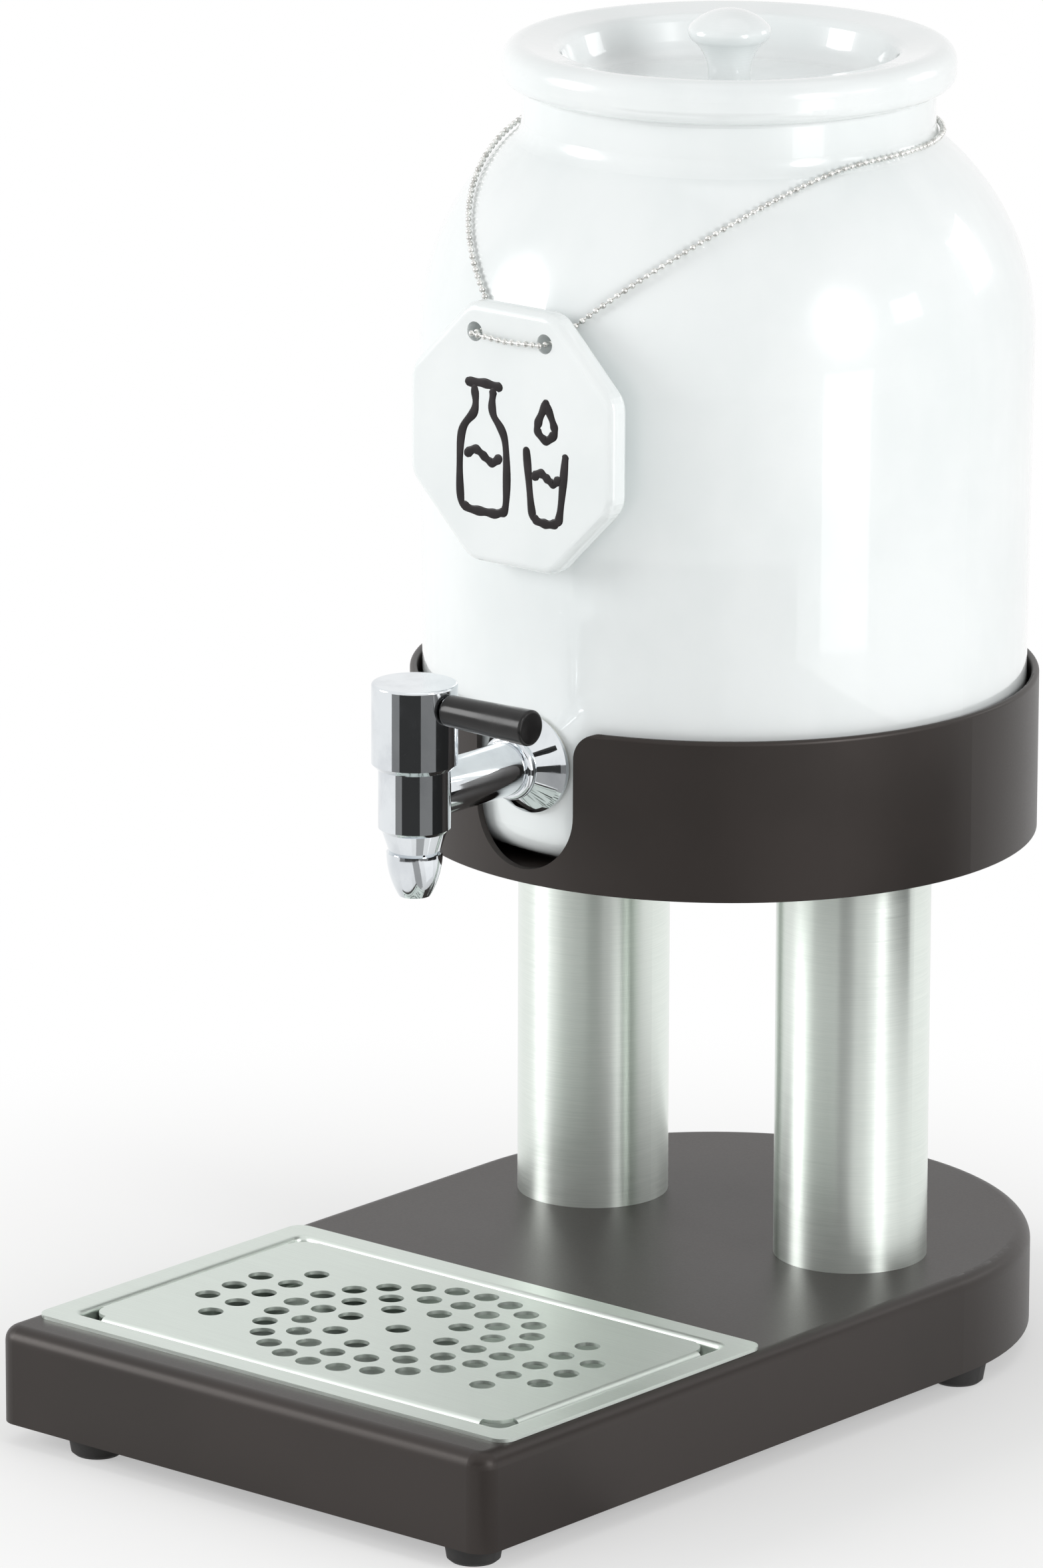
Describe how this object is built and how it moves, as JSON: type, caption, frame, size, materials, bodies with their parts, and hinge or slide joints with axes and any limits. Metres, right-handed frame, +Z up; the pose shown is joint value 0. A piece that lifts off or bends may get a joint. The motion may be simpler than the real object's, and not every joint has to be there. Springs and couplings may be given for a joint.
{
  "type": "milk dispenser",
  "caption": "Countertop milk dispenser: lidded porcelain jar with a lever tap and a hung sign, in a cradle on steel posts over a base with a lift-out drip tray.",
  "frame": {"origin": "on the table under the middle of the base", "axes": "+Z up, -Y towards the user (tap side), +X to the user's right"},
  "size_m": [0.204, 0.341, 0.443],
  "materials": {
    "painted_steel": "satin dark brown-grey paint",
    "foot_rubber": "matt black rubber",
    "fasteners": "zinc plated",
    "brushed_posts": "stainless tube, brushed round",
    "tray_steel": "stainless sheet, fine grain",
    "jar_pad": "matt rubber",
    "porcelain": "glazed white porcelain",
    "tap_chrome": "polished chrome plate",
    "seals": "food-grade silicone",
    "lever_plastic": "satin black",
    "valve_steel": "turned stainless",
    "chain_steel": "nickel plated ball chain"
  },
  "bodies": {
    "stand": {"base_shell": "painted_steel", "base_cover": "painted_steel", "rubber_feet": "foot_rubber", "foot_screws": "fasteners", "left_post": "brushed_posts", "right_post": "brushed_posts", "top_plugs": "brushed_posts", "bottom_plugs": "brushed_posts", "base_bolts": "fasteners", "base_washers": "fasteners", "cradle": "painted_steel", "cradle_screws": "fasteners", "jar_pad": "jar_pad"},
    "tray": {"drip_tray": "tray_steel"},
    "grid": {"drip_grid": "tray_steel"},
    "jar": {"jar": "porcelain", "tap_body": "tap_chrome", "tap_nozzle": "tap_chrome", "tap_collar": "tap_chrome", "tap_rosette": "tap_chrome", "outer_gasket": "seals", "inner_gasket": "seals", "inner_washer": "fasteners", "lock_nut": "fasteners", "stem_ring": "seals", "bead_chain": "chain_steel", "chain_clasp": "chain_steel"},
    "lid": {"lid": "porcelain"},
    "sign": {"sign_plate": "porcelain"},
    "tap_head": {"tap_head": "tap_chrome", "lever_stud": "fasteners", "lever_grip": "lever_plastic"},
    "valve": {"valve_stem": "valve_steel", "valve_seal": "seals"}
  },
  "joints": [
    {"name": "tray_lift", "type": "slide", "parent": "stand", "child": "tray", "axis": [0, 0, 1], "range_m": [0, 0.05]},
    {"name": "grid_lift", "type": "slide", "parent": "tray", "child": "grid", "axis": [0, 0, 1], "range_m": [0, 0.05]},
    {"name": "jar_lift", "type": "slide", "parent": "stand", "child": "jar", "axis": [0, 0, 1], "range_m": [0, 0.08]},
    {"name": "lid_lift", "type": "slide", "parent": "jar", "child": "lid", "axis": [0, 0, 1], "range_m": [0, 0.06]},
    {"name": "sign_swing", "type": "hinge", "parent": "jar", "child": "sign", "pos_m": [0, -0.03535, 0.3535], "axis": [-1, 0, 0], "range_deg": [0, 12]},
    {"name": "lever_turn", "type": "hinge", "parent": "jar", "child": "tap_head", "pos_m": [0, -0.08495, 0.237], "axis": [0, 0, -1], "range_deg": [0, 90]},
    {"name": "valve_lift", "type": "slide", "parent": "jar", "child": "valve", "axis": [0, 0, 1], "range_m": [0, 0.0031]}
  ],
  "couplings": [
    {"joint": "valve_lift", "follows": "lever_turn", "m_per_rad": 0.0019099}
  ]
}
